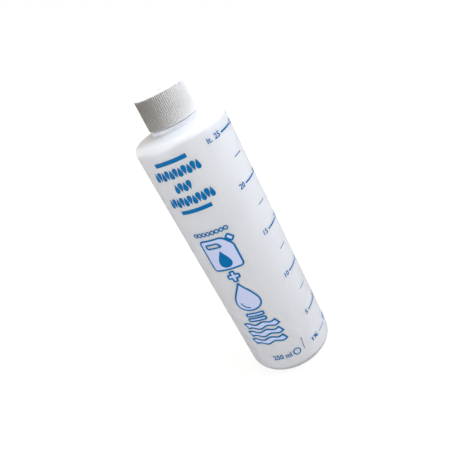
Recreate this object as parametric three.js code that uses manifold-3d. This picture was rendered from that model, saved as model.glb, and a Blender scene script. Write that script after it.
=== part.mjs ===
// Graduated oil measuring bottle: a blow-moulded bottle, a ribbed screw cap and the foam wad that seals it.
// Millimetres, +Z up. The origin is the centre of the ring that the bottle stands on.

import * as THREE from "three";
import { mergeVertices } from "three/addons/utils/BufferGeometryUtils.js";
import Module from "manifold-3d";

const wasm = await Module();
wasm.setup();

// Bottle body
const bodyRadius = 25;
const bodyTop = 148.3; // where the straight wall ends and the shoulder starts
const wall = 1.1;
const heelRadius = 6.5;
const shoulderRadius = 4.1;
const shoulderSlope = THREE.MathUtils.degToRad(6.2);

// Base
const standWidth = 2; // width of the flat ring that touches the table
const pushUp = 2.2; // height of the dome under the base
const baseThickness = 1.4;
const pinchMargin = 4; // from the ends of the pinched seam across the base to the stand ring
const pinchWidth = 0.9;
const pinchDepth = 0.45; // how far the seam stands out of the dome, and how far it reaches in

// Collar and neck
const collarReach = 1.95; // how far the collar stands out past the neck
const collarHeight = 2;
const collarRound = 0.4;
const collarFillet = 0.6;
const boreRadius = 9.3;
const boreFlare = 2; // rounding where the bore opens into the body
const neckWall = 1.55;
const neckPlain = 7; // from the top of the collar to the middle of the thread's first turn
const lipRound = 0.4;

// Screw thread, right-handed
const threadPitch = 3.2;
const threadTurns = 1.5;
const threadHeight = 1;
const threadRootShare = 0.53; // width of a ridge at its root, as a share of the pitch
const threadCrestShare = 0.19;
const threadFade = 0.08; // run-out at each end, in turns
const threadTail = 0.05; // share of its height that a ridge keeps at its very ends
const threadSink = 0.3; // how far a ridge reaches into the wall that carries it

// Screw cap
const boreClearance = 0.25; // between the neck's thread and the inside of the cap
const crestClearance = 0.3; // between the cap's thread and the neck
const capWall = 1; // in the valleys between the ribs, at the foot of the cap
const capPanel = 1.2;
const capDraft = THREE.MathUtils.degToRad(1.2);
const skirtGap = 0.35; // between the foot of the cap and the collar
const footRound = 0.7; // rounding at the foot of the cap
const topChamfer = 0.35;
const mouthChamfer = 0.25; // inside the open end
const ribCount = 84;
const ribDepth = 0.3;
const ribCrestShare = 0.34; // share of one rib pitch that the crest takes
const ribFlankShare = 0.16;

// Sealing wad
const wadThickness = 0.8;
const wadOverhang = 0.7; // how far the wad reaches past the neck
const wadGap = 0.05; // above and below the wad
const wadSideGap = 0.15;
const wadLipDepth = 0.3; // the lip in the cap that keeps the wad in
const wadLipHeight = 0.5;
const lipClearance = 0.95; // height between that lip and the neck's thread

// Fineness of the round surfaces
const bottleSegments = 48;
const capSegments = 48;
const threadSteps = 45; // in one turn
const domeSteps = 5;
const roundSteps = 6; // in the heel's and the shoulder's rounding
const innerSteps = 4; // in the same roundings inside the bottle
const smallSteps = 2; // in the small roundings

// How far a cut runs out past the face that it opens
const cutPast = 1;

// Sizes that follow from those above
const quarter = Math.PI / 2;
const neckRadius = boreRadius + neckWall;
const threadRadius = neckRadius + threadHeight;
const threadRootWidth = threadRootShare * threadPitch;
const threadCrestWidth = threadCrestShare * threadPitch;
const collarRadius = neckRadius + collarReach;
const standOuter = bodyRadius - heelRadius;
const standInner = standOuter - standWidth;
const shoulderCentre = bodyRadius - shoulderRadius;
const slopeStartRadius = shoulderCentre + shoulderRadius * Math.sin(shoulderSlope);
const slopeStartHeight = bodyTop + shoulderRadius * Math.cos(shoulderSlope);
const slopeHeight = (radius) => slopeStartHeight + (slopeStartRadius - radius) * Math.tan(shoulderSlope);
const undersideHeight = (radius) => slopeHeight(radius) - wall / Math.cos(shoulderSlope);
const collarTop = slopeHeight(collarRadius) + collarHeight;
const threadStart = collarTop + neckPlain;
const threadEnd = threadStart + threadTurns * threadPitch;
const sealHeight = threadEnd + threadRootWidth / 2 + lipClearance + wadLipHeight;
const wadBottom = sealHeight + wadGap;
const panelUnderside = wadBottom + wadThickness + wadGap;
const capTop = panelUnderside + capPanel;
const capFoot = collarTop + skirtGap;
const capBore = threadRadius + boreClearance;
const capRadius = capBore + capWall + ribDepth; // over the ribs, at the foot
const wadRadius = neckRadius + wadOverhang;
const wadSeatRadius = wadRadius + wadSideGap;

// Points of an arc in the section, centre (r, z), angles in radians from +r towards +z
function arc(r, z, radius, from, to, steps) {
  return Array.from({ length: steps + 1 }, (_, i) => {
    const angle = from + ((to - from) * i) / steps;
    return new THREE.Vector2(r + radius * Math.cos(angle), z + radius * Math.sin(angle));
  });
}

// The dome of the base, from the axis out to some reach, lifted by some height
function dome(lift, reach, steps) {
  const sphere = (standInner ** 2 + pushUp ** 2) / (2 * pushUp);
  return Array.from({ length: steps + 1 }, (_, i) => {
    const r = (reach * i) / steps;
    return new THREE.Vector2(r, lift + pushUp - sphere + Math.sqrt(sphere ** 2 - r ** 2));
  });
}

// The seam that the mould pinches off along X, a low ridge that follows the dome of the base
function pinchedSeam() {
  const reach = standInner - pinchMargin;
  const under = dome(-pinchDepth, reach, domeSteps);
  const over = dome(pinchDepth, reach, domeSteps);
  const mirrored = (points) => points.slice(1).map((point) => new THREE.Vector2(-point.x, point.y));
  const outline = [
    ...under,
    ...over.toReversed(),
    ...mirrored(over),
    ...mirrored(under).toReversed(),
  ];
  const ridge = new THREE.ExtrudeGeometry(new THREE.Shape(outline), {
    depth: pinchWidth,
    bevelEnabled: false,
  });
  return ridge.rotateX(quarter).translate(0, pinchWidth / 2, 0);
}

// Rounding between the shoulder's slope and an upright wall inside it, from the slope to the wall
function slopeToWall(wallRadius, slope, radius, steps) {
  const r = wallRadius + radius;
  const z = slope(r) + radius / Math.cos(shoulderSlope);
  return arc(r, z, radius, 3 * quarter - shoulderSlope, 2 * quarter, steps);
}

function revolve(outline, segments) {
  return new THREE.LatheGeometry(outline, segments).rotateX(quarter);
}

// A ridge that winds up about Z. Its section is listed anticlockwise, as [radius, height] from its middle.
function windingRidge(section, startHeight) {
  const steps = Math.round(threadSteps * threadTurns);
  const positions = [];
  const index = [];
  for (let i = 0; i <= steps; i++) {
    const turns = (threadTurns * i) / steps;
    const angle = 2 * Math.PI * turns;
    const fade = Math.min(1, Math.min(turns, threadTurns - turns) / threadFade);
    for (const [radius, height] of section(fade)) {
      positions.push(radius * Math.cos(angle), radius * Math.sin(angle));
      positions.push(startHeight + threadPitch * turns + height);
    }
  }
  const corners = section(1).length;
  for (let i = 0; i < steps; i++) {
    for (let k = 0; k < corners; k++) {
      const a = i * corners + k;
      const b = i * corners + ((k + 1) % corners);
      index.push(a, a + corners, b, b, a + corners, b + corners);
    }
  }
  const last = steps * corners;
  for (let k = 1; k < corners - 1; k++) {
    index.push(0, k, k + 1, last, last + k + 1, last + k);
  }
  const geometry = new THREE.BufferGeometry();
  geometry.setAttribute("position", new THREE.Float32BufferAttribute(positions, 3));
  return geometry.setIndex(index);
}

// A solid round body with upright ribs, from rings listed from the foot to the top.
// Each ring has a height, a radius over the ribs and the depth of the valleys there.
function ribbedBody(rings) {
  const pitch = (2 * Math.PI) / ribCount;
  const flank = ribFlankShare * pitch;
  const crest = ribCrestShare * pitch;
  const marks = [
    [0, 0],
    [crest, 0],
    [crest + flank, 1],
    [pitch - flank, 1],
  ];
  const columns = ribCount * marks.length;
  const positions = [0, 0, rings[0].height];
  const index = [];
  for (const { height, radius, depth } of rings) {
    for (let rib = 0; rib < ribCount; rib++) {
      for (const [offset, valley] of marks) {
        const angle = rib * pitch + offset;
        const reach = radius - valley * depth;
        positions.push(reach * Math.cos(angle), reach * Math.sin(angle), height);
      }
    }
  }
  positions.push(0, 0, rings.at(-1).height);
  const at = (ring, column) => 1 + ring * columns + (column % columns);
  const topRing = rings.length - 1;
  const apex = at(topRing, 0) + columns;
  for (let c = 0; c < columns; c++) {
    index.push(0, at(0, c + 1), at(0, c), apex, at(topRing, c), at(topRing, c + 1));
    for (let ring = 0; ring < topRing; ring++) {
      index.push(at(ring, c), at(ring, c + 1), at(ring + 1, c));
      index.push(at(ring + 1, c), at(ring, c + 1), at(ring + 1, c + 1));
    }
  }
  const geometry = new THREE.BufferGeometry();
  geometry.setAttribute("position", new THREE.Float32BufferAttribute(positions, 3));
  return geometry.setIndex(index);
}

function toSolid(geometry) {
  const bare = geometry.clone();
  bare.deleteAttribute("normal");
  bare.deleteAttribute("uv");
  const merged = mergeVertices(bare, 1e-4);
  return new wasm.Manifold(
    new wasm.Mesh({
      numProp: 3,
      vertProperties: merged.attributes.position.array,
      triVerts: new Uint32Array(merged.index.array),
    }),
  );
}

function toGeometry(solid) {
  const mesh = solid.getMesh();
  const geometry = new THREE.BufferGeometry();
  geometry.setAttribute("position", new THREE.Float32BufferAttribute(mesh.vertProperties, mesh.numProp));
  geometry.setIndex(new THREE.BufferAttribute(mesh.triVerts, 1));
  geometry.computeVertexNormals();
  return geometry;
}

// The thread on the outside of the neck
function neckThread() {
  const section = (fade) => {
    const crest = neckRadius + threadHeight * Math.max(fade, threadTail);
    return [
      [neckRadius - threadSink, -threadRootWidth / 2],
      [crest, -threadCrestWidth / 2],
      [crest, threadCrestWidth / 2],
      [neckRadius - threadSink, threadRootWidth / 2],
    ];
  };
  return windingRidge(section, threadStart);
}

// The thread inside the cap runs half a pitch below the neck's
function capThread() {
  const height = capBore - neckRadius - crestClearance;
  const section = (fade) => {
    const crest = capBore - height * Math.max(fade, threadTail);
    return [
      [crest, threadCrestWidth / 2],
      [crest, -threadCrestWidth / 2],
      [capBore + threadSink, -threadRootWidth / 2],
      [capBore + threadSink, threadRootWidth / 2],
    ];
  };
  return windingRidge(section, threadStart - threadPitch / 2);
}

function bottleGeometry() {
  const outside = [
    ...dome(0, standInner, domeSteps),
    ...arc(standOuter, heelRadius, heelRadius, -quarter, 0, roundSteps),
    ...arc(shoulderCentre, bodyTop, shoulderRadius, 0, quarter - shoulderSlope, roundSteps),
    ...slopeToWall(collarRadius, slopeHeight, collarFillet, smallSteps),
    ...arc(collarRadius - collarRound, collarTop - collarRound, collarRound, 0, quarter, smallSteps),
    new THREE.Vector2(neckRadius, collarTop),
    ...arc(neckRadius - lipRound, sealHeight - lipRound, lipRound, 0, quarter, smallSteps),
  ];
  const inside = [
    new THREE.Vector2(boreRadius, sealHeight),
    ...slopeToWall(boreRadius, undersideHeight, boreFlare, innerSteps).toReversed(),
    ...arc(shoulderCentre, bodyTop, shoulderRadius - wall, quarter - shoulderSlope, 0, innerSteps),
    ...arc(standOuter, heelRadius, heelRadius - wall, 0, -quarter, innerSteps),
    ...dome(baseThickness, standInner, innerSteps).toReversed(),
  ];
  const shell = toSolid(revolve([...outside, ...inside], bottleSegments));
  return toGeometry(shell.add(toSolid(pinchedSeam())).add(toSolid(neckThread())));
}

function capGeometry() {
  const shrink = (height) => (height - capFoot) * Math.tan(capDraft);
  const ring = (height, inset, depth) => ({
    height,
    radius: capRadius - shrink(height) - inset,
    depth,
  });
  const rounding = (angle, depth) =>
    ring(capFoot + footRound * (1 - Math.cos(angle)), footRound * (1 - Math.sin(angle)), depth);
  const outer = ribbedBody([
    rounding(0, 0),
    rounding(quarter / 2, 0),
    rounding(quarter, ribDepth),
    ring(capTop - topChamfer, 0, ribDepth),
    ring(capTop, topChamfer, 0),
  ]);
  const lipTop = wadBottom - wadGap;
  const lipBottom = lipTop - wadLipHeight;
  const hollow = [
    new THREE.Vector2(0, capFoot - cutPast),
    new THREE.Vector2(capBore + mouthChamfer, capFoot - cutPast),
    new THREE.Vector2(capBore + mouthChamfer, capFoot),
    new THREE.Vector2(capBore, capFoot + mouthChamfer),
    new THREE.Vector2(capBore, lipBottom),
    new THREE.Vector2(wadSeatRadius - wadLipDepth, lipBottom),
    new THREE.Vector2(wadSeatRadius - wadLipDepth, lipTop - wadLipDepth / 2),
    new THREE.Vector2(wadSeatRadius, lipTop),
    new THREE.Vector2(wadSeatRadius, panelUnderside),
    new THREE.Vector2(0, panelUnderside),
  ];
  const shell = toSolid(outer).subtract(toSolid(revolve(hollow, capSegments)));
  return toGeometry(shell.add(toSolid(capThread())));
}

function wadGeometry() {
  const outline = [
    new THREE.Vector2(0, wadBottom),
    new THREE.Vector2(wadRadius, wadBottom),
    new THREE.Vector2(wadRadius, wadBottom + wadThickness),
    new THREE.Vector2(0, wadBottom + wadThickness),
  ];
  return revolve(outline, capSegments);
}

function part(name, geometry, color, roughness) {
  const material = new THREE.MeshStandardMaterial({ color, roughness, metalness: 0 });
  const mesh = new THREE.Mesh(geometry, material);
  mesh.name = name;
  return mesh;
}

const bottle = new THREE.Group();
bottle.add(part("bottle", bottleGeometry(), 0xe6e6ea, 0.45));

const closure = new THREE.Group();
closure.add(part("screw_cap", capGeometry(), 0xd2d2cf, 0.55));
closure.add(part("cap_wad", wadGeometry(), 0xf2f1ec, 0.9));
bottle.add(closure);

export default bottle;
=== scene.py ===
import math

import bmesh
import bpy
from mathutils import Matrix, Vector
from mathutils.geometry import tessellate_polygon


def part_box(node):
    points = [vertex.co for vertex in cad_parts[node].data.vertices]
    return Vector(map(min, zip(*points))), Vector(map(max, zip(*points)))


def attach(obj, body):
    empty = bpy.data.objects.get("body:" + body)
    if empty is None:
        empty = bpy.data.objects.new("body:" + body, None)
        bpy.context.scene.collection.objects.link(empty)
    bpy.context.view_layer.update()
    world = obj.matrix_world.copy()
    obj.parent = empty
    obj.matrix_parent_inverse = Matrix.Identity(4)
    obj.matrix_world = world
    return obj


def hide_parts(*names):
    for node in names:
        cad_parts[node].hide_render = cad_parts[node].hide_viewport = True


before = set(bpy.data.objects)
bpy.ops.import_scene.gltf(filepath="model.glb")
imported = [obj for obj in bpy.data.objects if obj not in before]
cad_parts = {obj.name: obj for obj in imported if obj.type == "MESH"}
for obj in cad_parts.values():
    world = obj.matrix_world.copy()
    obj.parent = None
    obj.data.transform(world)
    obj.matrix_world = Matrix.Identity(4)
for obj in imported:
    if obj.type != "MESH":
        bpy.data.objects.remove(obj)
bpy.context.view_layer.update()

scene = bpy.context.scene
mm = 0.001
quarter = math.pi / 2
smoothAngle = math.radians(35)  # edges sharper than this stay sharp

# Camera, fitted to the photo. Lengths are in mm, turns in degrees.
camera = {
    "back": 238.49,
    "height": 197.22,
    "pitch": 23.714,
    "yaw": -0.539,
    "roll": -28.259,
    "lens": 38.08,
    "sensor": 36,
    "nearest": 10,
}

# Sizes in mm. The body's width and the neck's top come from the frame.
bottleSizes = {
    "inkRoom": 0.06,  # the wall stays this far inside the solid, so that the ink fits in its box
    "bodyTop": 148.3,
    "wall": 1.1,
    "heelRadius": 6.5,
    "shoulderRadius": 4.1,
    "shoulderSlope": math.radians(6.2),
    "standWidth": 2,
    "pushUp": 2.2,
    "baseThickness": 1.4,
    "collarHeight": 2,
    "collarReach": 1.95,
    "collarRound": 0.4,
    "collarFillet": 0.6,
    "boreRadius": 9.3,
    "boreFlare": 2,
    "neckWall": 1.55,
    "neckPlain": 7,
    "lipRound": 0.4,
    "mouthBevel": 0.15,
    "neckRoot": 0.3,
    "segments": 192,
    "domeSteps": 14,
    "heelSteps": 16,
    "shoulderSteps": 14,
    "filletSteps": 6,
    "roundSteps": 5,
    "rootSteps": 4,
    "innerSteps": 8,
    "innerBaseSteps": 10,
    "pinchSteps": 12,
    "seamWidth": 0.3,
    "seamHeight": 0.05,
    "seamMargin": 0.3,  # what lies this close to the outside of the wall counts as on it
    "seamStop": 1,  # how far out from the collar the seam ends
    "pinchMargin": 4,
    "pinchWidth": 0.9,
    "pinchDepth": 0.45,
}
threadSizes = {
    "pitch": 3.2,
    "turns": 1.5,
    "height": 1,
    "rootWidth": 1.7,
    "crestWidth": 0.6,
    "sink": 0.3,
    "fade": 0.08,
    "tail": 0.05,  # share of its height that a ridge keeps at its ends
    "roundReach": 0.86,
    "roundWidth": 1.25,
    "tipWidth": 0.7,
    "steps": 96,
}
capSizes = {
    "draft": math.radians(1.2),
    "ribs": 84,
    "ribDepth": 0.3,
    "ribSteepness": 0.8,  # over 0.5 it flattens the crests and the valleys
    "ribEnd": 1.2,  # from the cap's edge to where the ribs have run out on its top
    "columnsPerRib": 10,
    "footRound": 0.7,
    "footSteps": 5,
    "skirtRings": (0.35, 0.7),
    "topChamfer": 0.35,
    "topSteps": 4,
    "boreClearance": 0.25,
    "crestClearance": 0.3,
    "mouthChamfer": 0.25,
    "wadGap": 0.05,
    "wadSideGap": 0.15,
    "wadRound": 0.12,
    "lipDepth": 0.3,
    "lipHeight": 0.5,
    "lipBevel": 0.2,
    "gateRadius": 1.1,
    "gateFlank": 0.25,
    "gateDepth": 0.12,
    "cutPast": 1,
    "segments": 144,
}


def nodeSize(node):
    low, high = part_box(node)
    return low / mm, high / mm


bottleHigh = nodeSize("bottle")[1]
capLow, capHigh = nodeSize("screw_cap")
wadLow, wadHigh = nodeSize("cap_wad")
bodyRadius = bottleHigh.x
wallRadius = bodyRadius - bottleSizes["inkRoom"]
neckRadius = bottleSizes["boreRadius"] + bottleSizes["neckWall"]


# Meshes

def arcPoints(r, z, radius, start, end, steps):
    angles = [start + (end - start) * i / steps for i in range(steps + 1)]
    return [(r + radius * math.cos(a), z + radius * math.sin(a)) for a in angles]


def smoothFaces(mesh):
    for polygon in mesh.polygons:
        polygon.use_smooth = True
    mesh.set_sharp_from_angle(angle=smoothAngle)


def makeObject(name, bm):
    bmesh.ops.recalc_face_normals(bm, faces=bm.faces)
    mesh = bpy.data.meshes.new(name)
    bm.to_mesh(mesh)
    bm.free()
    mesh.transform(Matrix.Scale(mm, 4))
    smoothFaces(mesh)
    piece = bpy.data.objects.new(name, mesh)
    scene.collection.objects.link(piece)
    return piece


# Revolves a closed outline of (r, z) about Z. bulge(angle) lifts the surface a little, as a seam does.
def revolve(outline, angles, bulge=None):
    bm = bmesh.new()
    rings = []
    for r, z in outline:
        if r < 1e-6:
            rings.append([bm.verts.new((0, 0, z))])
            continue
        reach = [r + (bulge(a, r, z) if bulge else 0) for a in angles]
        rings.append([bm.verts.new((q * math.cos(a), q * math.sin(a), z)) for q, a in zip(reach, angles)])
    closed = len(rings[0]) > 1
    pairs = list(zip(rings, rings[1:])) + ([(rings[-1], rings[0])] if closed else [])
    count = len(angles)
    for low, high in pairs:
        for i in range(count):
            j = (i + 1) % count
            if len(low) == 1:
                bm.faces.new((low[0], high[j], high[i]))
            elif len(high) == 1:
                bm.faces.new((low[i], low[j], high[0]))
            else:
                bm.faces.new((low[i], low[j], high[j], high[i]))
    return bm


def evenAngles(count):
    return [2 * math.pi * i / count for i in range(count)]


# A ridge that winds up about Z, from a function that gives its section for how far it has faded in
def windingRidge(section, startHeight):
    steps = round(threadSizes["steps"] * threadSizes["turns"])
    bm = bmesh.new()
    rings = []
    for i in range(steps + 1):
        turns = threadSizes["turns"] * i / steps
        angle = 2 * math.pi * turns
        fade = min(1, min(turns, threadSizes["turns"] - turns) / threadSizes["fade"])
        fade = max(threadSizes["tail"], math.sin(fade * quarter))
        height = startHeight + threadSizes["pitch"] * turns
        rings.append([bm.verts.new((r * math.cos(angle), r * math.sin(angle), height + z))
                      for r, z in section(fade)])
    for low, high in zip(rings, rings[1:]):
        for i in range(len(low)):
            j = (i + 1) % len(low)
            bm.faces.new((low[i], low[j], high[j], high[i]))
    bm.faces.new(rings[0])
    bm.faces.new(rings[-1])
    return bm


def threadSection(root, crest, fade):
    t = threadSizes
    half, tip = t["rootWidth"] / 2, t["crestWidth"] / 2
    top = root + (crest - root) * fade
    near = root + (top - root) * t["roundReach"]
    sink = root - math.copysign(t["sink"], crest - root)
    wide, narrow = tip * t["roundWidth"], tip * t["tipWidth"]
    return [(sink, -half), (near, -wide), (top, -narrow), (top, narrow), (near, wide), (sink, half)]


def joinSolids(piece, bm, operation, name):
    tool = makeObject(name, bm)
    change = piece.modifiers.new(name, "BOOLEAN")
    change.operation = operation
    change.object = tool
    change.solver = "MANIFOLD"
    depsgraph = bpy.context.evaluated_depsgraph_get()
    made = bpy.data.meshes.new_from_object(piece.evaluated_get(depsgraph))
    piece.modifiers.clear()
    piece.data = made
    bpy.data.objects.remove(tool)
    smoothFaces(made)


# Bottle

def domePoints(lift, reach, steps):
    inner = bodyRadius - bottleSizes["heelRadius"] - bottleSizes["standWidth"]
    push = bottleSizes["pushUp"]
    sphere = (inner ** 2 + push ** 2) / (2 * push)
    radii = [reach * i / steps for i in range(steps + 1)]
    return [(r, lift + push - sphere + math.sqrt(sphere ** 2 - r ** 2)) for r in radii]


def slopeToWall(wall, slope, radius, steps):
    r = wall + radius
    z = slope(r) + radius / math.cos(bottleSizes["shoulderSlope"])
    return arcPoints(r, z, radius, 3 * quarter - bottleSizes["shoulderSlope"], 2 * quarter, steps)


def makeBottle():
    b = bottleSizes
    slope = b["shoulderSlope"]
    centre = bodyRadius - b["shoulderRadius"]
    shoulder = b["shoulderRadius"] - b["inkRoom"]
    startRadius = centre + b["shoulderRadius"] * math.sin(slope)
    startHeight = b["bodyTop"] + b["shoulderRadius"] * math.cos(slope)
    standOuter = bodyRadius - b["heelRadius"]
    standInner = standOuter - b["standWidth"]
    heel = b["heelRadius"] - b["inkRoom"]
    collarRadius = neckRadius + b["collarReach"]

    def outerSlope(r):
        return startHeight + (startRadius - r) * math.tan(slope)

    def innerSlope(r):
        return outerSlope(r) - b["wall"] / math.cos(slope)

    collarTop = outerSlope(collarRadius) + b["collarHeight"]
    sealHeight = bottleHigh.z
    outside = domePoints(0, standInner, b["domeSteps"])
    outside += [(standOuter, 0)]
    outside += arcPoints(standOuter, b["heelRadius"], heel, -quarter, 0, b["heelSteps"])
    outside += arcPoints(centre, b["bodyTop"], shoulder, 0, quarter - slope, b["shoulderSteps"])
    outside += slopeToWall(collarRadius, outerSlope, b["collarFillet"], b["filletSteps"])
    outside += arcPoints(collarRadius - b["collarRound"], collarTop - b["collarRound"],
                         b["collarRound"], 0, quarter, b["roundSteps"])
    outside += slopeToWall(neckRadius, lambda r: collarTop, b["neckRoot"], b["rootSteps"])
    outside += arcPoints(neckRadius - b["lipRound"], sealHeight - b["lipRound"],
                         b["lipRound"], 0, quarter, b["roundSteps"])
    inside = [(b["boreRadius"] + b["mouthBevel"], sealHeight)]
    inside += [(b["boreRadius"], sealHeight - b["mouthBevel"])]
    inside += slopeToWall(b["boreRadius"], innerSlope, b["boreFlare"], b["innerSteps"])[::-1]
    inside += arcPoints(centre, b["bodyTop"], b["shoulderRadius"] - b["wall"],
                        quarter - slope, 0, b["innerSteps"])
    inside += arcPoints(standOuter, b["heelRadius"], b["heelRadius"] - b["wall"],
                        0, -quarter, b["innerBaseSteps"])
    inside += domePoints(b["baseThickness"], standInner, b["innerBaseSteps"])[::-1]

    # The mould's parting line runs up both sides, at +X and -X
    half = math.degrees(b["seamWidth"] / 2 / bodyRadius)
    step = 360 / b["segments"]
    angles = [i * step for i in range(b["segments"]) if (i * step) % 180 != 0]
    angles += [side + turn for side in (0, 180) for turn in (-half, -half / 2, 0, half / 2, half)]
    angles = sorted(math.radians(a % 360) for a in angles)

    # It stands out of the heel, the wall and the shoulder, and stops short of the collar
    def seam(angle, r, z):
        away = abs((math.degrees(angle) + 90) % 180 - 90) / half
        onWall = r > wallRadius - b["seamMargin"]
        onShoulder = z > b["bodyTop"] and r > collarRadius + b["seamStop"]
        onHeel = z < b["heelRadius"] and r > standOuter
        if away >= 1 or not (onWall or onShoulder or onHeel):
            return 0
        return b["seamHeight"] * (1 - away)

    piece = makeObject("bottle_shell", revolve(outside + inside, angles, seam))
    threadStart = collarTop + b["neckPlain"]
    crest = neckRadius + threadSizes["height"]
    thread = windingRidge(lambda fade: threadSection(neckRadius, crest, fade), threadStart)
    joinSolids(piece, thread, "UNION", "neck_thread")
    joinSolids(piece, makePinch(standInner), "UNION", "pinch")
    return piece, threadStart


# The seam that the mould pinches off across the base, which follows the dome
def makePinch(standInner):
    b = bottleSizes
    reach = standInner - b["pinchMargin"]
    under = domePoints(-b["pinchDepth"], reach, b["pinchSteps"])
    over = domePoints(b["pinchDepth"], reach, b["pinchSteps"])
    right = under + over[::-1]
    outline = right + [(-r, z) for r, z in over[1:]] + [(-r, z) for r, z in under[:0:-1]]
    bm = bmesh.new()
    sides = []
    for y in (-b["pinchWidth"] / 2, b["pinchWidth"] / 2):
        sides.append([bm.verts.new((x, y, z)) for x, z in outline])
    front, back = sides
    for i in range(len(outline)):
        j = (i + 1) % len(outline)
        bm.faces.new((front[i], front[j], back[j], back[i]))
    bm.faces.new(front)
    bm.faces.new(back)
    return bm


# Cap

def ribValley(angle):
    turn = angle * capSizes["ribs"]
    return min(1, max(0, 0.5 + capSizes["ribSteepness"] * math.cos(turn)))


def makeCap(threadStart):
    c = capSizes
    foot, top = capLow.z, capHigh.z
    outer = capHigh.x

    def reach(z):
        return outer - (z - foot) * math.tan(c["draft"])

    # Each ring has a radius over the ribs, a height and the depth of the valleys there
    rings = [(0, foot, 0)]
    steps = c["footSteps"]
    for i in range(steps + 1):
        turn = quarter * i / steps
        z = foot + c["footRound"] * (1 - math.cos(turn))
        inset = c["footRound"] * (1 - math.sin(turn))
        rings.append((reach(z) - inset, z, c["ribDepth"] * (i / steps) ** 2))
    for share in c["skirtRings"]:
        z = foot + (top - foot) * share
        rings.append((reach(z), z, c["ribDepth"]))
    steps = c["topSteps"]
    for i in range(steps + 1):
        turn = quarter * i / steps
        z = top - c["topChamfer"] * (1 - math.sin(turn))
        inset = c["topChamfer"] * (1 - math.cos(turn))
        rings.append((reach(z) - inset, z, c["ribDepth"] * (1 - (i / steps) ** 2)))
    rings.append((reach(top) - c["ribEnd"], top, 0))
    rings.append((c["gateRadius"] + c["gateFlank"], top, 0))
    rings.append((c["gateRadius"], top - c["gateDepth"], 0))
    rings.append((0, top - c["gateDepth"], 0))
    depths = {(r, z): depth for r, z, depth in rings}
    columns = evenAngles(c["ribs"] * c["columnsPerRib"])
    body = revolve([(r, z) for r, z, _ in rings], columns, lambda a, r, z: -depths[(r, z)] * ribValley(a))
    piece = makeObject("screw_cap_ribbed", body)

    threadRadius = neckRadius + threadSizes["height"]
    bore = threadRadius + c["boreClearance"]
    seat = wadHigh.x + c["wadSideGap"]
    lipTop = wadLow.z - c["wadGap"]
    lipBottom = lipTop - c["lipHeight"]
    underside = wadHigh.z + c["wadGap"]
    mouth, below = bore + c["mouthChamfer"], foot - c["cutPast"]
    hollow = [(0, below), (mouth, below), (mouth, foot), (bore, foot + c["mouthChamfer"])]
    hollow += [(bore, lipBottom - c["lipBevel"]), (bore - c["lipBevel"], lipBottom)]
    hollow += [(seat - c["lipDepth"], lipBottom), (seat - c["lipDepth"], lipTop - c["lipDepth"] / 2)]
    hollow += [(seat, lipTop), (seat, underside), (0, underside)]
    joinSolids(piece, revolve(hollow, evenAngles(c["segments"])), "DIFFERENCE", "cap_hollow")
    crest = neckRadius + c["crestClearance"]
    start = threadStart - threadSizes["pitch"] / 2
    thread = windingRidge(lambda fade: threadSection(bore, crest, fade), start)
    joinSolids(piece, thread, "UNION", "cap_thread")
    return piece


def makeWad():
    r, low, high = wadHigh.x, wadLow.z, wadHigh.z
    soft = capSizes["wadRound"]
    outline = [(0, low), (r - soft, low), (r, low + soft), (r, high - soft), (r - soft, high), (0, high)]
    return makeObject("foam_wad", revolve(outline, evenAngles(capSizes["segments"])))


bottleShell, threadStart = makeBottle()
print("bottle made,", len(bottleShell.data.polygons), "faces")
capShell = makeCap(threadStart)
print("cap made,", len(capShell.data.polygons), "faces")
foamWad = makeWad()


# Print. Places are in mm on the unrolled wall: along it from the front's middle, and up from the table.

printSizes = {
    "sink": 0.1,
    "fillHeight": 0.02,
    "inkHeight": 0.04,
    "stroke": 1.0,
    "slice": 1.0,
    "weld": 1e-4,
    "shortest": 2e-3,  # edges shorter than this are dissolved
    "dropTaper": 1.6,
    "cornerShare": 2.05,  # a rounding takes a little less than half of each side
    "sharpest": 0.35,  # keeps a stroke from growing at a sharp corner
    "capitals": 0.73,  # height of a capital letter as a share of the type's size
}


def wallPlace(azimuth):
    return math.radians(azimuth) * bodyRadius


def discLoop(x, z, width, height, steps=36):
    return [(x + width / 2 * math.cos(a), z + height / 2 * math.sin(a)) for a in evenAngles(steps)]


# A drop with its tip up, or down where up is -1
def dropLoop(x, z, width, height, up=1, steps=40):
    loop = []
    taper = printSizes["dropTaper"]
    widest = max(math.sin(t / 100) * math.sin(t / 200) ** taper for t in range(1, 314))
    for i in range(steps):
        t = 2 * math.pi * i / steps
        side = math.sin(t) * abs(math.sin(t / 2)) ** taper / widest
        loop.append((x + side * width / 2, z + up * math.cos(t) * height / 2))
    return loop


# Rounds each corner of a loop with an arc-like curve that starts some way before the corner
def roundedLoop(points, radius, steps=5):
    loop = []
    count = len(points)
    share = printSizes["cornerShare"]
    for i in range(count):
        before, corner, after = (Vector(points[k % count]) for k in (i - 1, i, i + 1))
        reach = min(radius, (before - corner).length / share, (after - corner).length / share)
        start = corner + (before - corner).normalized() * reach
        end = corner + (after - corner).normalized() * reach
        for k in range(steps + 1):
            t = k / steps
            spot = start * (1 - t) ** 2 + corner * 2 * t * (1 - t) + end * t ** 2
            loop.append((spot.x, spot.y))
    return loop


def moved(points, x, z):
    return [(px + x, pz + z) for px, pz in points]


# Flat pieces of print: faces as lists of (x, z)
def filled(loops):
    flat = [p for loop in loops for p in loop]
    triangles = tessellate_polygon([[Vector((x, z, 0)) for x, z in loop] for loop in loops])
    return [[flat[i] for i in triangle] for triangle in triangles]


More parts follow.
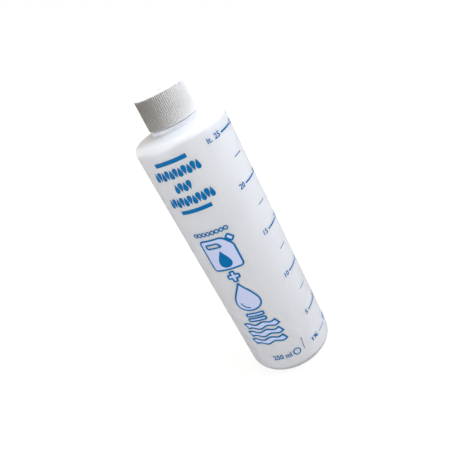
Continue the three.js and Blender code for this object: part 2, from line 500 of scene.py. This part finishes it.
def stroked(points, width, closed=True):
    count = len(points)
    sides = []
    for i in range(count):
        here = Vector(points[i])
        before = Vector(points[(i - 1) % count]) if closed or i > 0 else here
        after = Vector(points[(i + 1) % count]) if closed or i < count - 1 else here
        first = (here - before).normalized() if here != before else (after - here).normalized()
        last = (after - here).normalized() if after != here else first
        across = Vector((-first.y, first.x)) + Vector((-last.y, last.x))
        across /= max(printSizes["sharpest"], across.length_squared / 2)
        sides.append((here - across * width / 2, here + across * width / 2))
    spans = zip(sides, sides[1:] + sides[:1]) if closed else zip(sides, sides[1:])
    return [[a[0][:], b[0][:], b[1][:], a[1][:]] for a, b in spans]


def barFaces(left, right, low, high):
    return [[(left, low), (right, low), (right, high), (left, high)]]


def textFaces(text, x, z, height, align="CENTER", squeeze=1.0, weight=0.0):
    curve = bpy.data.curves.new("lettering", "FONT")
    curve.body = text
    curve.size = height / printSizes["capitals"]
    curve.align_x = align
    curve.align_y = "CENTER"
    curve.resolution_u = 3
    curve.offset = weight
    carrier = bpy.data.objects.new("lettering", curve)
    scene.collection.objects.link(carrier)
    depsgraph = bpy.context.evaluated_depsgraph_get()
    mesh = bpy.data.meshes.new_from_object(carrier.evaluated_get(depsgraph))
    faces = [[(x + mesh.vertices[i].co.x * squeeze, z + mesh.vertices[i].co.y) for i in p.vertices]
             for p in mesh.polygons]
    bpy.data.objects.remove(carrier)
    bpy.data.curves.remove(curve)
    bpy.data.meshes.remove(mesh)
    return faces


# Slices the flat faces so that they can bend, gives them a thickness and lays them round the wall
def wrapPrint(name, faces, height):
    bm = bmesh.new()
    for face in faces:
        bm.faces.new([bm.verts.new((x, z, 0)) for x, z in face])
    bmesh.ops.remove_doubles(bm, verts=bm.verts, dist=printSizes["weld"])
    left = min(v.co.x for v in bm.verts)
    right = max(v.co.x for v in bm.verts)
    cut = math.floor(left / printSizes["slice"] + 1) * printSizes["slice"]
    while cut < right:
        everything = bm.verts[:] + bm.edges[:] + bm.faces[:]
        bmesh.ops.bisect_plane(bm, geom=everything, dist=1e-5, plane_co=(cut, 0, 0), plane_no=(1, 0, 0))
        cut += printSizes["slice"]
    bmesh.ops.dissolve_degenerate(bm, dist=printSizes["shortest"], edges=bm.edges)
    bmesh.ops.recalc_face_normals(bm, faces=bm.faces)
    flat = bmesh.new()
    corners = {v: i for i, v in enumerate(bm.verts)}
    layers = []
    for reach in (wallRadius - printSizes["sink"], wallRadius + height):
        layer = []
        for v in bm.verts:
            angle = v.co.x / bodyRadius
            layer.append(flat.verts.new((reach * math.sin(angle), -reach * math.cos(angle), v.co.y)))
        layers.append(layer)
    under, over = layers
    for face in bm.faces:
        ids = [corners[v] for v in face.verts]
        flat.faces.new([over[i] for i in ids])
        flat.faces.new([under[i] for i in reversed(ids)])
    for edge in bm.edges:
        if len(edge.link_faces) == 1:
            i, j = (corners[v] for v in edge.verts)
            flat.faces.new((under[i], under[j], over[j], over[i]))
    bm.free()
    return makeObject(name, flat)


titleSizes = {
    "barLeft": wallPlace(-46.2),
    "barRight": wallPlace(-6),
    "topBar": 143.3,
    "bottomBar": 116.4,
    "barHeight": 2.1,
    "dropWidth": 2.4,
    "dropPitch": 2.36,
    "rows": [
        {"middle": wallPlace(-26.2), "z": 137.3, "height": 5.2, "drops": 11},
        {"middle": wallPlace(-26.4), "z": 129.7, "height": 5.2, "drops": 4},
        {"middle": wallPlace(-26.4), "z": 122.2, "height": 5.4, "drops": 11},
    ],
}


def titlePrint():
    t = titleSizes
    faces = []
    for z in (t["topBar"], t["bottomBar"]):
        faces += barFaces(t["barLeft"], t["barRight"], z - t["barHeight"] / 2, z + t["barHeight"] / 2)
    for row in t["rows"]:
        for i in range(row["drops"]):
            x = row["middle"] + (i - (row["drops"] - 1) / 2) * t["dropPitch"]
            up = 1 if i % 2 == 0 else -1
            faces += filled([dropLoop(x, row["z"], t["dropWidth"], row["height"], up)])
    return faces


signSizes = {
    "middle": wallPlace(-25.5),
    "dotRow": 102.1,
    "dotSize": 2.0,
    "dotStroke": 0.6,
    "dotPitch": 2.5,
    "dots": 8,
    "canFoot": 79.2,
    "can": [(-8.6, 0), (8.6, 0), (8.6, 13.5), (4, 19), (-8.6, 19)],
    "canRound": 2,
    "handle": [(-6, 14), (2.2, 14), (0.6, 16.4), (-6, 16.4)],
    "handleRound": 0.9,
    "spout": [(6.2, 18), (8.6, 15.2), (10.4, 16.8), (8, 19.6)],
    "spoutRound": 0.5,
    "canDrop": {"z": 6.4, "width": 6.2, "height": 9.4},
    "plus": {"z": 74.2, "reach": 3.2, "half": 1.1, "round": 0.4},
    "drop": {"z": 60, "width": 14, "height": 19},
    "shine": {"radius": 4.2, "down": 3.4, "from": 185, "step": 12, "points": 8, "stroke": 0.8},
    "equals": {"z": 45.4, "reach": 5, "lows": (-2.7, 0.8), "height": 1.9, "round": 0.6},
    "waves": (40.4, 34.6, 28.8),
    "wave": {"left": -10, "right": 8.6, "height": 3.2, "swing": 0.7, "count": 2, "lean": 1.6},
}


def canDrop():
    drop = signSizes["canDrop"]
    loop = dropLoop(0, drop["z"], drop["width"], drop["height"])
    return moved(loop, signSizes["middle"], signSizes["canFoot"])


# Fuel can, plus, oil drop, equals and waves: outlined signs for what the bottle is used for
def signLoops():
    s = signSizes
    m = s["middle"]
    can, handle, spout = (roundedLoop(s[name], s[name + "Round"]) for name in ("can", "handle", "spout"))
    arm, half = s["plus"]["reach"], s["plus"]["half"]
    plus = [(-half, -arm), (half, -arm), (half, -half), (arm, -half), (arm, half), (half, half)]
    plus += [(-x, -z) for x, z in plus]
    drop, equals = s["drop"], s["equals"]
    wide = equals["reach"]
    bars = [[(-wide, low), (wide, low), (wide, low + equals["height"]), (-wide, low + equals["height"])]
            for low in equals["lows"]]
    shapes = [
        [moved(can, m, s["canFoot"]), moved(handle, m, s["canFoot"]), canDrop()],
        [moved(spout, m, s["canFoot"])],
        [moved(roundedLoop(plus, s["plus"]["round"], 3), m, s["plus"]["z"])],
        [dropLoop(m, drop["z"], drop["width"], drop["height"], steps=64)],
    ]
    shapes += [[moved(roundedLoop(bar, equals["round"], 3), m, equals["z"])] for bar in bars]
    return shapes + [[waveLoop(m + s["wave"]["left"], m + s["wave"]["right"], z)] for z in s["waves"]]


def waveLoop(left, right, z, steps=60):
    wave = signSizes["wave"]
    xs = [left + (right - left) * i / steps for i in range(steps + 1)]
    turn = 2 * math.pi * wave["count"]
    line = [(x, z + wave["swing"] * math.sin(turn * (x - left) / (right - left))) for x in xs]
    lower = [(x + wave["lean"], low - wave["height"]) for x, low in line]
    return line + lower[::-1]


def signPrint():
    s = signSizes
    shine = s["shine"]
    turns = [math.radians(shine["from"] + shine["step"] * i) for i in range(shine["points"])]
    x, z, reach = s["middle"], s["drop"]["z"] - shine["down"], shine["radius"]
    curve = [(x + reach * math.cos(a), z + reach * math.sin(a)) for a in turns]
    outlines = stroked(curve, shine["stroke"], closed=False) + filled([canDrop()])
    fills = []
    for loops in signLoops():
        fills += filled(loops)
        for loop in loops:
            outlines += stroked(loop, printSizes["stroke"])
    for i in range(s["dots"]):
        x = s["middle"] + (i - (s["dots"] - 1) / 2) * s["dotPitch"]
        outlines += stroked(discLoop(x, s["dotRow"], s["dotSize"], s["dotSize"], 20), s["dotStroke"])
    return outlines, fills


scaleSizes = {
    "firstMark": 30.7,
    "spacing": 28.2,
    "numberHeight": 2.9,
    "weight": 0.08,
    "lineLength": wallPlace(23.5),
    "lineHeight": 0.85,
    "tickLength": wallPlace(15.5),
    "tickHeight": 0.42,
    "tickInset": wallPlace(3),
    "footLine": 13.65,
    "squeeze": 1.0,
    "headHeight": 2.7,
    "headSqueeze": 1.42,
    "headShift": wallPlace(1.9),
    "headLift": 0.2,
    "headWeight": 0.1,
    "numberGap": wallPlace(1.0),
    "sideGap": wallPlace(14),
    "textLift": 0.1,
    "lineStart": wallPlace(1.4),
    "footLength": wallPlace(17),
    "unitGap": wallPlace(12.3),
    "unitSqueeze": 1.1,
    "unitWeight": 0.05,
    "columns": [
        {"head": "1%", "unit": "lt.", "numbers": ["5", "10", "15", "20", "25"], "end": wallPlace(41.2)},
        {"head": "2%", "unit": "", "numbers": ["2.5", "5", "7.5", "10", "12.5"], "end": wallPlace(81)},
        {"head": "ml", "unit": "", "numbers": ["50", "100", "150", "200", "250"], "end": wallPlace(121)},
    ],
}


def scalePrint():
    s = scaleSizes
    faces = []
    for column in s["columns"]:
        start = column["end"] + s["lineStart"]
        first = column is s["columns"][0]
        align = "RIGHT" if first else "LEFT"
        place = column["end"] - (s["numberGap"] if first else s["sideGap"])
        for i, number in enumerate(column["numbers"]):
            z = s["firstMark"] + i * s["spacing"]
            faces += textFaces(number, place, z + s["textLift"], s["numberHeight"], align,
                               s["squeeze"], s["weight"])
            low = z - s["lineHeight"] / 2
            faces += barFaces(start, start + s["lineLength"], low, low + s["lineHeight"])
            if i > 0:
                low = z - s["spacing"] / 2 - s["tickHeight"] / 2
                tick = start + s["tickInset"]
                faces += barFaces(tick, tick + s["tickLength"], low, low + s["tickHeight"])
        if column["unit"]:
            top = s["firstMark"] + (len(column["numbers"]) - 1) * s["spacing"]
            faces += textFaces(column["unit"], place - s["unitGap"], top + s["textLift"], s["numberHeight"],
                               "RIGHT", s["unitSqueeze"], s["unitWeight"])
        faces += textFaces(column["head"], place - s["headShift"], s["footLine"] + s["headLift"],
                           s["headHeight"], align, s["headSqueeze"], s["headWeight"])
        foot = s["footLine"] - s["tickHeight"] / 2
        faces += barFaces(start, start + s["footLength"], foot, foot + s["tickHeight"])
    return faces


contentSizes = {
    "middle": wallPlace(-20.1),
    "height": 13.3,
    "letterHeight": 3.4,
    "squeeze": 0.88,
    "weight": 0.09,
    "ring": wallPlace(0.6),
    "ringHeight": 13.7,
    "ringSize": 4.1,
    "ringStroke": 0.7,
    "markPlace": wallPlace(11),
    "markLean": 1.0,
    "markLow": 12.6,
    "markHigh": 20.5,
    "markWidth": 0.35,
}


def contentPrint():
    c = contentSizes
    faces = textFaces("250 ml", c["middle"], c["height"], c["letterHeight"], "CENTER",
                      c["squeeze"], c["weight"])
    faces += stroked(discLoop(c["ring"], c["ringHeight"], c["ringSize"], c["ringSize"]), c["ringStroke"])
    half = c["markWidth"] / 2
    low, high = c["markPlace"], c["markPlace"] + c["markLean"]
    faces.append([(low - half, c["markLow"]), (low + half, c["markLow"]),
                  (high + half, c["markHigh"]), (high - half, c["markHigh"])])
    return faces


signOutlines, signFills = signPrint()
inkHeight, fillHeight = printSizes["inkHeight"], printSizes["fillHeight"]
printed = {
    "print_title": wrapPrint("print_title", titlePrint(), inkHeight),
    "print_signs": wrapPrint("print_signs", signOutlines, inkHeight),
    "print_scale": wrapPrint("print_scale", scalePrint(), inkHeight),
    "print_content": wrapPrint("print_content", contentPrint(), inkHeight),
}
signFill = wrapPrint("print_sign_fill", signFills, fillHeight)
print("print made,", sum(len(p.data.polygons) for p in printed.values()), "faces")


# Materials

def newMaterial(name):
    material = bpy.data.materials.new(name)
    material.use_nodes = True
    material.node_tree.nodes.clear()
    return material, material.node_tree.nodes, material.node_tree.links


def place(nodes, kind, x, y, **values):
    node = nodes.new(kind)
    node.location = (x, y)
    for key, value in values.items():
        if hasattr(node, key):
            setattr(node, key, value)
        else:
            node.inputs[key].default_value = value
    return node


# Shared effect: unevenness of moulded plastic, as a height, a roughness shift and a mask of faint scuffs.
# The scuffs and the lines that the mould draws are noise stretched along Z. Every size here and in the
# looks below that feeds a noise is its scale, so a larger one is finer.
mouldedSizes = {
    "scuffSize": 700.0,
    "scuffStretch": 0.18,
    "scuffFrom": 0.56,
    "scuffTo": 0.72,
    "lineSize": 650.0,
    "lineStretch": 0.01,
    "roughShare": 0.12,
}


def mouldedSurface():
    m = mouldedSizes
    group = bpy.data.node_groups.new("mouldedSurface", "ShaderNodeTree")
    face = group.interface
    for name in ("Grain size", "Wave size", "Grain", "Waves", "Draw lines", "Scuffs"):
        face.new_socket(name, in_out="INPUT", socket_type="NodeSocketFloat")
    for name in ("Height", "Roughness shift", "Scuff mask"):
        face.new_socket(name, in_out="OUTPUT", socket_type="NodeSocketFloat")
    nodes, links = group.nodes, group.links
    source = place(nodes, "NodeGroupInput", -900, 0)
    sink = place(nodes, "NodeGroupOutput", 700, 0)
    spot = place(nodes, "ShaderNodeTexCoord", -900, 300)
    grain = place(nodes, "ShaderNodeTexNoise", -600, 300, Detail=3.0)
    waves = place(nodes, "ShaderNodeTexNoise", -600, 0, Detail=1.0)
    stretch = place(nodes, "ShaderNodeMapping", -760, -300)
    stretch.inputs["Scale"].default_value = (1, 1, m["scuffStretch"])
    scuffs = place(nodes, "ShaderNodeTexNoise", -600, -300, Scale=m["scuffSize"], Detail=4.0)
    links.new(spot.outputs["Object"], grain.inputs["Vector"])
    links.new(spot.outputs["Object"], waves.inputs["Vector"])
    links.new(spot.outputs["Object"], stretch.inputs["Vector"])
    links.new(stretch.outputs[0], scuffs.inputs["Vector"])
    links.new(source.outputs["Grain size"], grain.inputs["Scale"])
    links.new(source.outputs["Wave size"], waves.inputs["Scale"])
    fine = place(nodes, "ShaderNodeMath", -300, 300, operation="MULTIPLY")
    broad = place(nodes, "ShaderNodeMath", -300, 100, operation="MULTIPLY")
    height = place(nodes, "ShaderNodeMath", -80, 200, operation="ADD")
    pull = place(nodes, "ShaderNodeMapping", -760, -600)
    pull.inputs["Scale"].default_value = (1, 1, m["lineStretch"])
    lines = place(nodes, "ShaderNodeTexNoise", -600, -600, Scale=m["lineSize"], Detail=2.0)
    drawn = place(nodes, "ShaderNodeMath", 80, 200, operation="MULTIPLY_ADD")
    links.new(spot.outputs["Object"], pull.inputs["Vector"])
    links.new(pull.outputs[0], lines.inputs["Vector"])
    links.new(lines.outputs["Fac"], drawn.inputs[0])
    links.new(source.outputs["Draw lines"], drawn.inputs[1])
    links.new(grain.outputs["Fac"], fine.inputs[0])
    links.new(source.outputs["Grain"], fine.inputs[1])
    links.new(waves.outputs["Fac"], broad.inputs[0])
    links.new(source.outputs["Waves"], broad.inputs[1])
    links.new(fine.outputs[0], height.inputs[0])
    links.new(broad.outputs[0], height.inputs[1])
    links.new(height.outputs[0], drawn.inputs[2])
    links.new(drawn.outputs[0], sink.inputs["Height"])
    mask = place(nodes, "ShaderNodeMapRange", -300, -300)
    mask.inputs["From Min"].default_value = m["scuffFrom"]
    mask.inputs["From Max"].default_value = m["scuffTo"]
    weighed = place(nodes, "ShaderNodeMath", 0, -300, operation="MULTIPLY")
    links.new(scuffs.outputs["Fac"], mask.inputs["Value"])
    links.new(mask.outputs[0], weighed.inputs[0])
    links.new(source.outputs["Scuffs"], weighed.inputs[1])
    links.new(weighed.outputs[0], sink.inputs["Scuff mask"])
    shift = place(nodes, "ShaderNodeMath", 200, -100, operation="MULTIPLY_ADD")
    shift.inputs[1].default_value = m["roughShare"]
    links.new(waves.outputs["Fac"], shift.inputs[0])
    links.new(weighed.outputs[0], shift.inputs[2])
    links.new(shift.outputs[0], sink.inputs["Roughness shift"])
    return group


mouldedGroup = mouldedSurface()
bumpReach = 0.0004

# Lengths in the looks are in metres. The ring at the middle of the collar's painted shade is a radius and a
# height.
bottleLook = {
    "color": (0.78, 0.795, 0.845),
    "scuffColor": (0.84, 0.85, 0.88),
    "roughness": 0.30,
    "subsurface": 1.0,
    "radius": (1.0, 1.0, 1.05),
    "depth": 0.003,
    "grainSize": 900.0,
    "waveSize": 60.0,
    "grain": 0.1,
    "waves": 0.6,
    "drawLines": 0.25,
    "scuffs": 0.25,
    "bump": 0.12,
    # Painted shade round the collar under the cap: its darkest tone, the ring at its middle and how far it
    # reaches
    "paintedShadeTone": 0.745,
    "paintedShadeRing": (0.0128, 0.1545),
    "collarReach": 0.0065,
}
capLook = {
    "color": (0.82, 0.82, 0.81),
    "scuffColor": (0.87, 0.87, 0.86),
    "roughness": 0.38,
    "subsurface": 0.25,
    "radius": (1.0, 0.95, 0.9),
    "depth": 0.0006,
    "grainSize": 900.0,
    "waveSize": 60.0,
    "grain": 0.2,
    "waves": 0.25,
    "drawLines": 0.0,
    "scuffs": 0.3,
    "bump": 0.08,
}
foamLook = {
    "color": (0.83, 0.82, 0.79),
    "scuffColor": (0.72, 0.71, 0.68),
    "roughness": 0.75,
    "subsurface": 0.2,
    "radius": (1.0, 1.0, 1.0),
    "depth": 0.0005,
    "grainSize": 2200.0,
    "waveSize": 60.0,
    "grain": 1.0,
    "waves": 0.3,
    "drawLines": 0.0,
    "scuffs": 0.5,
    "bump": 0.5,
}


# Painted shade: the plastic is coloured greyer close to the collar, where the cap shadows it and the thick
# wall passes on less light
def paintedCollarShade(nodes, links, look):
    spot = place(nodes, "ShaderNodeTexCoord", -1100, 500)
    split = place(nodes, "ShaderNodeSeparateXYZ", -900, 400)
    flat = place(nodes, "ShaderNodeVectorMath", -900, 600, operation="MULTIPLY")
    flat.inputs[1].default_value = (1, 1, 0)
    radius = place(nodes, "ShaderNodeVectorMath", -720, 600, operation="LENGTH")
    section = place(nodes, "ShaderNodeCombineXYZ", -540, 500)
    away = place(nodes, "ShaderNodeVectorMath", -360, 500, operation="DISTANCE")
    away.inputs[1].default_value = (*look["paintedShadeRing"], 0)
    near = place(nodes, "ShaderNodeMapRange", -180, 500)
    near.inputs["From Min"].default_value = look["collarReach"]
    near.inputs["From Max"].default_value = 0
    soft = place(nodes, "ShaderNodeMath", 0, 500, operation="POWER")
    soft.inputs[1].default_value = 2
    shade = place(nodes, "ShaderNodeMix", 200, 300, data_type="RGBA", blend_type="MULTIPLY")
    shade.inputs["B"].default_value = (*[look["paintedShadeTone"]] * 3, 1)
    links.new(spot.outputs["Object"], flat.inputs[0])
    links.new(spot.outputs["Object"], split.inputs[0])
    links.new(flat.outputs[0], radius.inputs[0])
    links.new(radius.outputs["Value"], section.inputs["X"])
    links.new(split.outputs["Z"], section.inputs["Y"])
    links.new(section.outputs[0], away.inputs[0])
    links.new(away.outputs["Value"], near.inputs["Value"])
    links.new(near.outputs[0], soft.inputs[0])
    links.new(soft.outputs[0], shade.inputs["Factor"])
    return shade


def plasticMaterial(name, look):
    material, nodes, links = newMaterial(name)
    out = place(nodes, "ShaderNodeOutputMaterial", 700, 0)
    shader = place(nodes, "ShaderNodeBsdfPrincipled", 400, 0)
    shader.inputs["Subsurface Weight"].default_value = look["subsurface"]
    shader.inputs["Subsurface Radius"].default_value = look["radius"]
    shader.inputs["Subsurface Scale"].default_value = look["depth"]
    shader.inputs["IOR"].default_value = 1.5
    surface = place(nodes, "ShaderNodeGroup", -300, 0)
    surface.node_tree = mouldedGroup
    for socket, key in (("Grain size", "grainSize"), ("Wave size", "waveSize"), ("Grain", "grain"),
                        ("Waves", "waves"), ("Draw lines", "drawLines"), ("Scuffs", "scuffs")):
        surface.inputs[socket].default_value = look[key]
    color = place(nodes, "ShaderNodeMix", 0, 200, data_type="RGBA")
    color.inputs["A"].default_value = (*look["color"], 1)
    color.inputs["B"].default_value = (*look["scuffColor"], 1)
    links.new(surface.outputs["Scuff mask"], color.inputs["Factor"])
    shadedColor = color
    # Darkens the colour round the collar, a painted shade under the cap
    if "paintedShadeTone" in look:
        shadedColor = paintedCollarShade(nodes, links, look)
        links.new(color.outputs["Result"], shadedColor.inputs["A"])
    links.new(shadedColor.outputs["Result"], shader.inputs["Base Color"])
    rough = place(nodes, "ShaderNodeMath", 0, 0, operation="ADD")
    rough.inputs[1].default_value = look["roughness"]
    links.new(surface.outputs["Roughness shift"], rough.inputs[0])
    links.new(rough.outputs[0], shader.inputs["Roughness"])
    bump = place(nodes, "ShaderNodeBump", 0, -250)
    bump.inputs["Strength"].default_value = look["bump"]
    bump.inputs["Distance"].default_value = bumpReach
    links.new(surface.outputs["Height"], bump.inputs["Height"])
    links.new(bump.outputs[0], shader.inputs["Normal"])
    links.new(shader.outputs[0], out.inputs["Surface"])
    return material


# Shared effect: screen-printed ink, as its density, which varies a little, and the fine weave of the screen
def screenPrint():
    group = bpy.data.node_groups.new("screenPrint", "ShaderNodeTree")
    face = group.interface
    for name in ("Density size", "Weave size"):
        face.new_socket(name, in_out="INPUT", socket_type="NodeSocketFloat")
    for name in ("Density", "Height"):
        face.new_socket(name, in_out="OUTPUT", socket_type="NodeSocketFloat")
    nodes, links = group.nodes, group.links
    source = place(nodes, "NodeGroupInput", -600, 0)
    sink = place(nodes, "NodeGroupOutput", 300, 0)
    spot = place(nodes, "ShaderNodeTexCoord", -600, 250)
    density = place(nodes, "ShaderNodeTexNoise", -250, 150, Detail=4.0)
    weave = place(nodes, "ShaderNodeTexNoise", -250, -200, Detail=1.0)
    links.new(spot.outputs["Object"], density.inputs["Vector"])
    links.new(spot.outputs["Object"], weave.inputs["Vector"])
    links.new(source.outputs["Density size"], density.inputs["Scale"])
    links.new(source.outputs["Weave size"], weave.inputs["Scale"])
    links.new(density.outputs["Fac"], sink.inputs["Density"])
    links.new(weave.outputs["Fac"], sink.inputs["Height"])
    return group


screenGroup = screenPrint()
inkBumpReach = 0.00005

inkLook = {
    "thin": (0.0005, 0.175, 0.46),
    "full": (0.0002, 0.125, 0.33),
    "roughness": 0.43,
    "gloss": 0.12,
    "roughnessSpread": 0.15,
    "bump": 0.15,
    "densitySize": 350.0,
    "weaveSize": 2600.0,
}
fillLook = {
    "thin": (0.60, 0.66, 0.86),
    "full": (0.55, 0.61, 0.83),
    "roughness": 0.43,
    "gloss": 0.3,
    "roughnessSpread": 0.15,
    "bump": 0.15,
    "densitySize": 350.0,
    "weaveSize": 2600.0,
}


def inkMaterial(name, look):
    material, nodes, links = newMaterial(name)
    out = place(nodes, "ShaderNodeOutputMaterial", 700, 0)
    shader = place(nodes, "ShaderNodeBsdfPrincipled", 400, 0)
    shader.inputs["Specular IOR Level"].default_value = look["gloss"]
    screen = place(nodes, "ShaderNodeGroup", -350, 0)
    screen.node_tree = screenGroup
    screen.inputs["Density size"].default_value = look["densitySize"]
    screen.inputs["Weave size"].default_value = look["weaveSize"]
    color = place(nodes, "ShaderNodeMix", 0, 200, data_type="RGBA")
    color.inputs["A"].default_value = (*look["thin"], 1)
    color.inputs["B"].default_value = (*look["full"], 1)
    rough = place(nodes, "ShaderNodeMath", 0, 0, operation="MULTIPLY_ADD")
    rough.inputs[1].default_value = look["roughnessSpread"]
    rough.inputs[2].default_value = look["roughness"]
    bump = place(nodes, "ShaderNodeBump", 0, -250)
    bump.inputs["Strength"].default_value = look["bump"]
    bump.inputs["Distance"].default_value = inkBumpReach
    links.new(screen.outputs["Density"], color.inputs["Factor"])
    links.new(color.outputs["Result"], shader.inputs["Base Color"])
    links.new(screen.outputs["Density"], rough.inputs[0])
    links.new(rough.outputs[0], shader.inputs["Roughness"])
    links.new(screen.outputs["Height"], bump.inputs["Height"])
    links.new(bump.outputs[0], shader.inputs["Normal"])
    links.new(shader.outputs[0], out.inputs["Surface"])
    return material


milkyPlastic = plasticMaterial("milkyPlastic", bottleLook)
capPlastic = plasticMaterial("capPlastic", capLook)
wadFoam = plasticMaterial("wadFoam", foamLook)
blueInk = inkMaterial("blueInk", inkLook)
paleInk = inkMaterial("paleInk", fillLook)

finishes = [
    (bottleShell, milkyPlastic, "bottle_plastic", "bottle"),
    (capShell, capPlastic, "cap_plastic", "cap"),
    (foamWad, wadFoam, "wad_foam", "wad"),
    (signFill, paleInk, "print_ink", "bottle"),
]
finishes += [(piece, blueInk, "print_ink", "bottle") for piece in printed.values()]
for piece, material, slot, body in finishes:
    piece.data.materials.clear()
    piece.data.materials.append(material)
    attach(piece, body)
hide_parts("bottle")
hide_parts("screw_cap")
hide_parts("cap_wad")
print("materials set on", len(finishes), "pieces")


# Stage: a plain pale floor, a white surround and soft lights. The light from the right is the cooler one.

stageLook = {
    "floorSize": 12.0,
    "floorColor": (0.15, 0.15, 0.15),
    # The camera glow is weaker near the bottle than far off, a painted shade round the foot
    "shadedGlowNear": 0.9,
    "glowFar": 0.97,
    "glowReach": 0.4,
    "surround": 1.0,
    "ambient": (0.46, 0.415, 0.355),
    "leftShare": 0.3,
    "fadeEnds": 0.9,
}
# The two glows are the light that the milky wall passes on from inside, so they reach the bottle alone
lights = {
    "topLight": {"place": (0.3, -0.1, 0.95), "size": 0.6, "power": 4.6, "color": (0.76, 0.88, 1)},
    "sideLight": {"place": (0.85, -0.3, 0.42), "size": 0.9, "power": 6.9, "color": (0.82, 0.86, 1)},
    "backLight": {"place": (0.3, 0.88, 0.45), "size": 0.8, "power": 4.6, "color": (1, 0.94, 0.78)},
    "rimLight": {"place": (-0.6, 0.7, 0.12), "size": 0.9, "power": 2.4, "color": (1, 0.95, 0.86)},
    "leftGlow": {"place": (-0.82, -0.4, 0.2), "size": 0.8, "power": 7.8, "color": (0.93, 0.94, 1),
                 "only": "bottle"},
    "frontGlow": {"place": (0.35, -0.9, 0.35), "size": 0.9, "power": 3.1, "color": (0.94, 0.98, 1),
                  "only": "bottle"},
}
lightTarget = Vector((0, 0, 0.09))


# The floor glows for the camera alone, so it stays white and lights the bottle as its own colour does. The
# glow is a little weaker close to the bottle, a painted shade round its foot.
def makeStage():
    bm = bmesh.new()
    half = stageLook["floorSize"] / 2 / mm
    bm.faces.new([bm.verts.new((x * half, y * half, 0)) for x, y in ((-1, -1), (1, -1), (1, 1), (-1, 1))])
    floor = makeObject("floor", bm)
    material, nodes, links = newMaterial("paleFloor")
    out = place(nodes, "ShaderNodeOutputMaterial", 700, 0)
    shader = place(nodes, "ShaderNodeBsdfDiffuse", 0, 200)
    shader.inputs["Color"].default_value = (*stageLook["floorColor"], 1)
    spot = place(nodes, "ShaderNodeTexCoord", -700, -200)
    away = place(nodes, "ShaderNodeVectorMath", -500, -200, operation="LENGTH")
    # Weaker glow close to the bottle, a painted shade round the foot
    glow = place(nodes, "ShaderNodeMapRange", -300, -200, interpolation_type="SMOOTHSTEP")
    glow.inputs["From Min"].default_value = bodyRadius * mm
    glow.inputs["From Max"].default_value = stageLook["glowReach"]
    glow.inputs["To Min"].default_value = stageLook["shadedGlowNear"]
    glow.inputs["To Max"].default_value = stageLook["glowFar"]
    path = place(nodes, "ShaderNodeLightPath", -300, 0)
    shown = place(nodes, "ShaderNodeMath", -100, -100, operation="MULTIPLY")
    light = place(nodes, "ShaderNodeEmission", 100, -100)
    both = place(nodes, "ShaderNodeAddShader", 400, 0)
    links.new(spot.outputs["Object"], away.inputs[0])
    links.new(away.outputs["Value"], glow.inputs["Value"])
    links.new(path.outputs["Is Camera Ray"], shown.inputs[0])
    links.new(glow.outputs[0], shown.inputs[1])
    links.new(shown.outputs[0], light.inputs["Strength"])
    links.new(shader.outputs[0], both.inputs[0])
    links.new(light.outputs[0], both.inputs[1])
    links.new(both.outputs[0], out.inputs["Surface"])
    floor.data.materials.append(material)


# The surround is white for the camera, and lights the bottle less from the left than from the right
def makeSurround():
    world = bpy.data.worlds.new("surround")
    scene.world = world
    world.use_nodes = True
    nodes, links = world.node_tree.nodes, world.node_tree.links
    nodes.clear()
    out = place(nodes, "ShaderNodeOutputWorld", 600, 0)
    seen = place(nodes, "ShaderNodeBackground", 200, 100)
    seen.inputs["Strength"].default_value = stageLook["surround"]
    seen.inputs["Color"].default_value = (1, 1, 1, 1)
    lit = place(nodes, "ShaderNodeBackground", 200, -100)
    lit.inputs["Color"].default_value = (*stageLook["ambient"], 1)
    direction = place(nodes, "ShaderNodeTexCoord", -600, -100)
    split = place(nodes, "ShaderNodeSeparateXYZ", -400, -100)
    across = place(nodes, "ShaderNodeMapRange", -200, -100)
    across.inputs["From Min"].default_value = -stageLook["fadeEnds"]
    across.inputs["From Max"].default_value = stageLook["fadeEnds"]
    across.inputs["To Min"].default_value = stageLook["leftShare"]
    across.inputs["To Max"].default_value = 2 - stageLook["leftShare"]
    links.new(direction.outputs["Generated"], split.inputs[0])
    links.new(split.outputs["X"], across.inputs["Value"])
    links.new(across.outputs[0], lit.inputs["Strength"])
    path = place(nodes, "ShaderNodeLightPath", 0, 300)
    choose = place(nodes, "ShaderNodeMixShader", 400, 0)
    links.new(path.outputs["Is Camera Ray"], choose.inputs[0])
    links.new(lit.outputs[0], choose.inputs[1])
    links.new(seen.outputs[0], choose.inputs[2])
    links.new(choose.outputs[0], out.inputs["Surface"])
    scene.view_settings.view_transform = "Standard"


def makeLights():
    for name, values in lights.items():
        data = bpy.data.lights.new(name, "AREA")
        data.shape = "DISK"
        data.size = values["size"]
        data.energy = values["power"]
        data.color = values["color"]
        light = bpy.data.objects.new(name, data)
        light.location = values["place"]
        aim = lightTarget - Vector(values["place"])
        light.rotation_euler = aim.to_track_quat("-Z", "Y").to_euler()
        scene.collection.objects.link(light)
        if "only" in values:
            lit = bpy.data.collections.new(name)
            for piece, _, _, body in finishes:
                if body == values["only"]:
                    lit.objects.link(piece)
            light.light_linking.receiver_collection = lit


# The photo is taken with the bottle leaning left in the frame, so the camera is rolled
def makeCamera():
    data = bpy.data.cameras.new("camera")
    data.lens = camera["lens"]
    data.sensor_width = camera["sensor"]
    data.clip_start = camera["nearest"] * mm
    eye = bpy.data.objects.new("camera", data)
    pitch, yaw = math.radians(camera["pitch"]), math.radians(camera["yaw"])
    forward = Vector((math.sin(yaw) * math.cos(pitch), math.cos(yaw) * math.cos(pitch), -math.sin(pitch)))
    level = forward.to_track_quat("-Z", "Y").to_matrix()
    turn = Matrix.Rotation(math.radians(camera["roll"]), 3, "Z")
    eye.matrix_world = (level @ turn).to_4x4()
    eye.location = (0, -camera["back"] * mm, camera["height"] * mm)
    scene.collection.objects.link(eye)
    scene.camera = eye


makeStage()
makeSurround()
makeLights()
makeCamera()
print("stage, lights and camera set")
